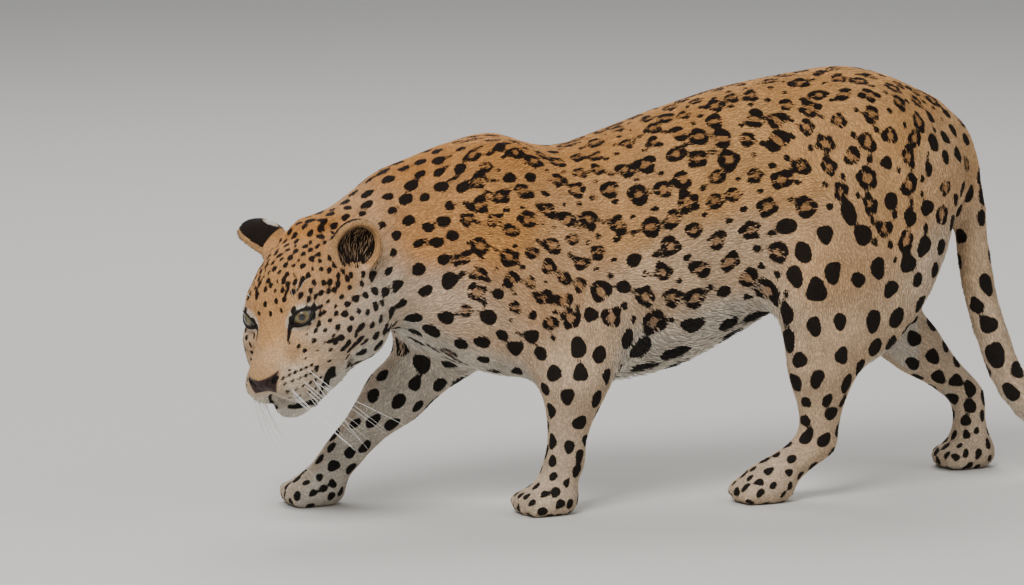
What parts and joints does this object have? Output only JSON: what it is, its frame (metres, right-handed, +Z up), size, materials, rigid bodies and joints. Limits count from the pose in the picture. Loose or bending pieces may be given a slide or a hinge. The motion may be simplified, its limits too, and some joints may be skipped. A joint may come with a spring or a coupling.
{
  "type": "leopard",
  "caption": "Life-size adult female leopard in a low stalking walk, head bowed and turned to its left, tail hanging and curled up at the tip.",
  "frame": {"origin": "on the floor, under the middle of the animal's bounding box", "axes": "+Z up; the body lies along X with the head towards -X; the animal's own left side faces -Y"},
  "size_m": [1.2326, 0.3008, 0.5284],
  "materials": {
    "coat": "short tawny fur with black rosettes",
    "pale_coat": "short pale fur with black spots",
    "nose_leather": "moist dark nose leather",
    "eye": "wet grey-green eye"
  },
  "bodies": {
    "root": {"torso": "coat", "neck": "coat", "head": "coat", "ear_left": "coat", "ear_right": "coat", "nose": "nose_leather", "eye_left": "eye", "eye_right": "eye", "lower_jaw": "pale_coat", "tail_root": "coat", "tail_middle": "coat", "tail_tip": "coat", "front_left_leg": "coat", "front_left_paw": "pale_coat", "front_right_leg": "coat", "front_right_paw": "pale_coat", "hind_left_leg": "coat", "hind_left_paw": "pale_coat", "hind_right_leg": "coat", "hind_right_paw": "pale_coat"}
  },
  "joints": []
}
